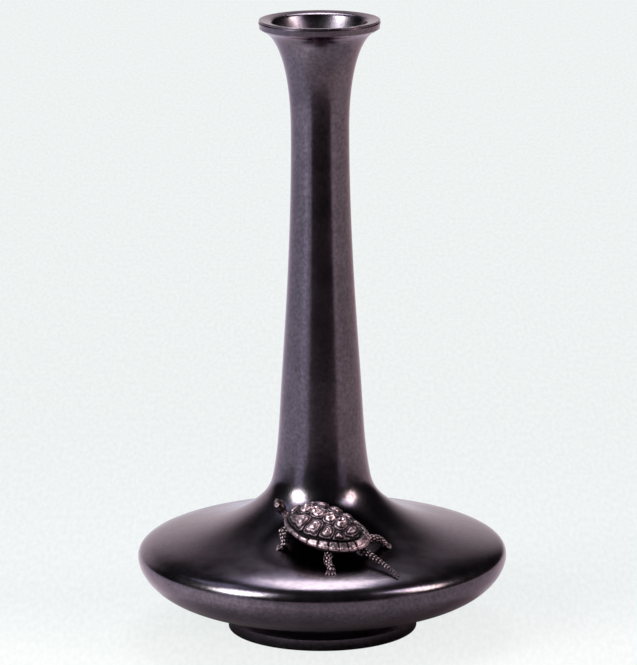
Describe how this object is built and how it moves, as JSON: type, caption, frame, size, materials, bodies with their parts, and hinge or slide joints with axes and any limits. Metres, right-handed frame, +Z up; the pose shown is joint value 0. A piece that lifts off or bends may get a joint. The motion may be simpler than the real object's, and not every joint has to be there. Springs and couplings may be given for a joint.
{
  "type": "bronze flower vase",
  "caption": "Cast bronze flower vase with a wide flat body, a tall slender neck flaring to a lipped mouth, a short foot ring and a turtle standing on the shoulder.",
  "frame": {"origin": "on the table, under the middle of the foot ring", "axes": "+Z up along the vase's axis; the turtle stands on the -Y side, which is the front; +X is to the right seen from the front"},
  "size_m": [0.1818, 0.1818, 0.303],
  "materials": {
    "vase_bronze": "dark brown-black patina, polished to a satin sheen",
    "turtle_bronze": "dark patina in the recesses, rubbed lighter on the raised scutes and scales",
    "inside_bronze": "as cast and turned, dull brown"
  },
  "bodies": {
    "root": {"foot_ring": "vase_bronze", "base_plate": "inside_bronze", "belly_shell": "vase_bronze", "shoulder_shell": "vase_bronze", "neck": "vase_bronze", "mouth_rim": "vase_bronze", "turtle_carapace": "turtle_bronze", "turtle_body": "turtle_bronze", "turtle_head": "turtle_bronze", "turtle_tail": "turtle_bronze", "turtle_leg_front_left": "turtle_bronze", "leg_washer_front_left": "inside_bronze", "turtle_leg_front_right": "turtle_bronze", "leg_washer_front_right": "inside_bronze", "turtle_leg_rear_left": "turtle_bronze", "leg_washer_rear_left": "inside_bronze", "turtle_leg_rear_right": "turtle_bronze", "leg_washer_rear_right": "inside_bronze"}
  },
  "joints": []
}
